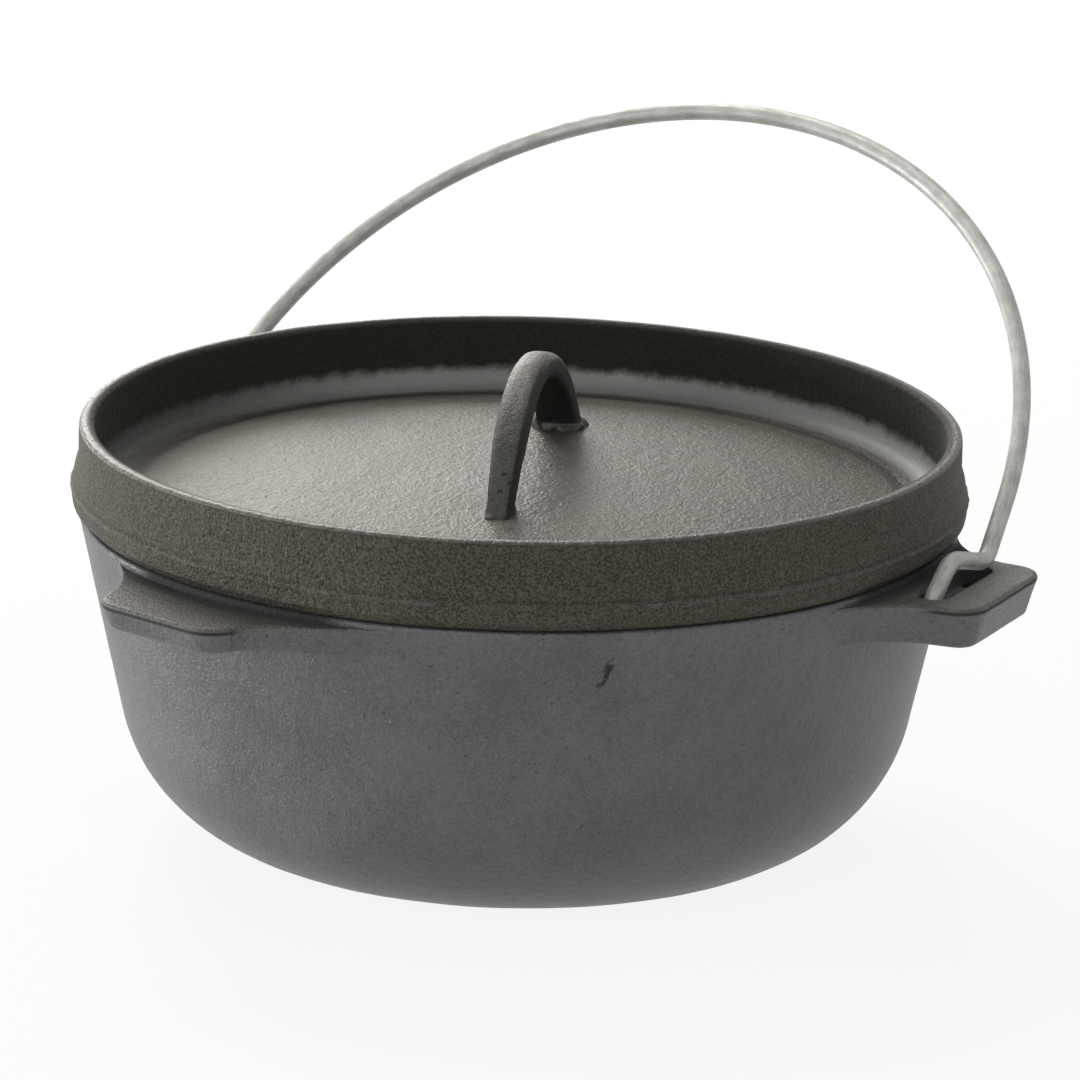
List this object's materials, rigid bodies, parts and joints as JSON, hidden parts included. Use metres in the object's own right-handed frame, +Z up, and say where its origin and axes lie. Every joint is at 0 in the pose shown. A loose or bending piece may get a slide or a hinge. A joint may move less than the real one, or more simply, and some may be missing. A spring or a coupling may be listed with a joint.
{
  "type": "camp dutch oven",
  "caption": "Flat-bottomed cast-iron camp oven with a flanged, handled lid, slotted rim ears, a tipping lug and a swinging wire bail for hanging or carrying over a fire.",
  "frame": {"origin": "middle of the flat base, on the plane it stands on", "axes": "+Z up; +X along the line on which the bail swings; +Y to the side the bail leans to at rest"},
  "size_m": [0.3622, 0.3332, 0.2227],
  "materials": {
    "pot_iron": "sand-cast, seasoned, fine pitted skin",
    "lid_iron": "sand-cast, seasoned, warm grey",
    "handle_iron": "sand-cast, small pits",
    "bail_wire": "satin zinc-coated drawn wire"
  },
  "bodies": {
    "pot": {"pot": "pot_iron"},
    "lid": {"lid": "lid_iron", "lid_handle": "handle_iron"},
    "bail": {"bail": "bail_wire"}
  },
  "joints": [
    {"name": "lid_lift", "type": "slide", "parent": "pot", "child": "lid", "axis": [0, 0, 1], "range_m": [0, 0.08]},
    {"name": "bail_swing", "type": "hinge", "parent": "pot", "child": "bail", "pos_m": [0, 0.01757, 0.10625], "axis": [1, 0, 0], "range_deg": [0, 128]}
  ]
}
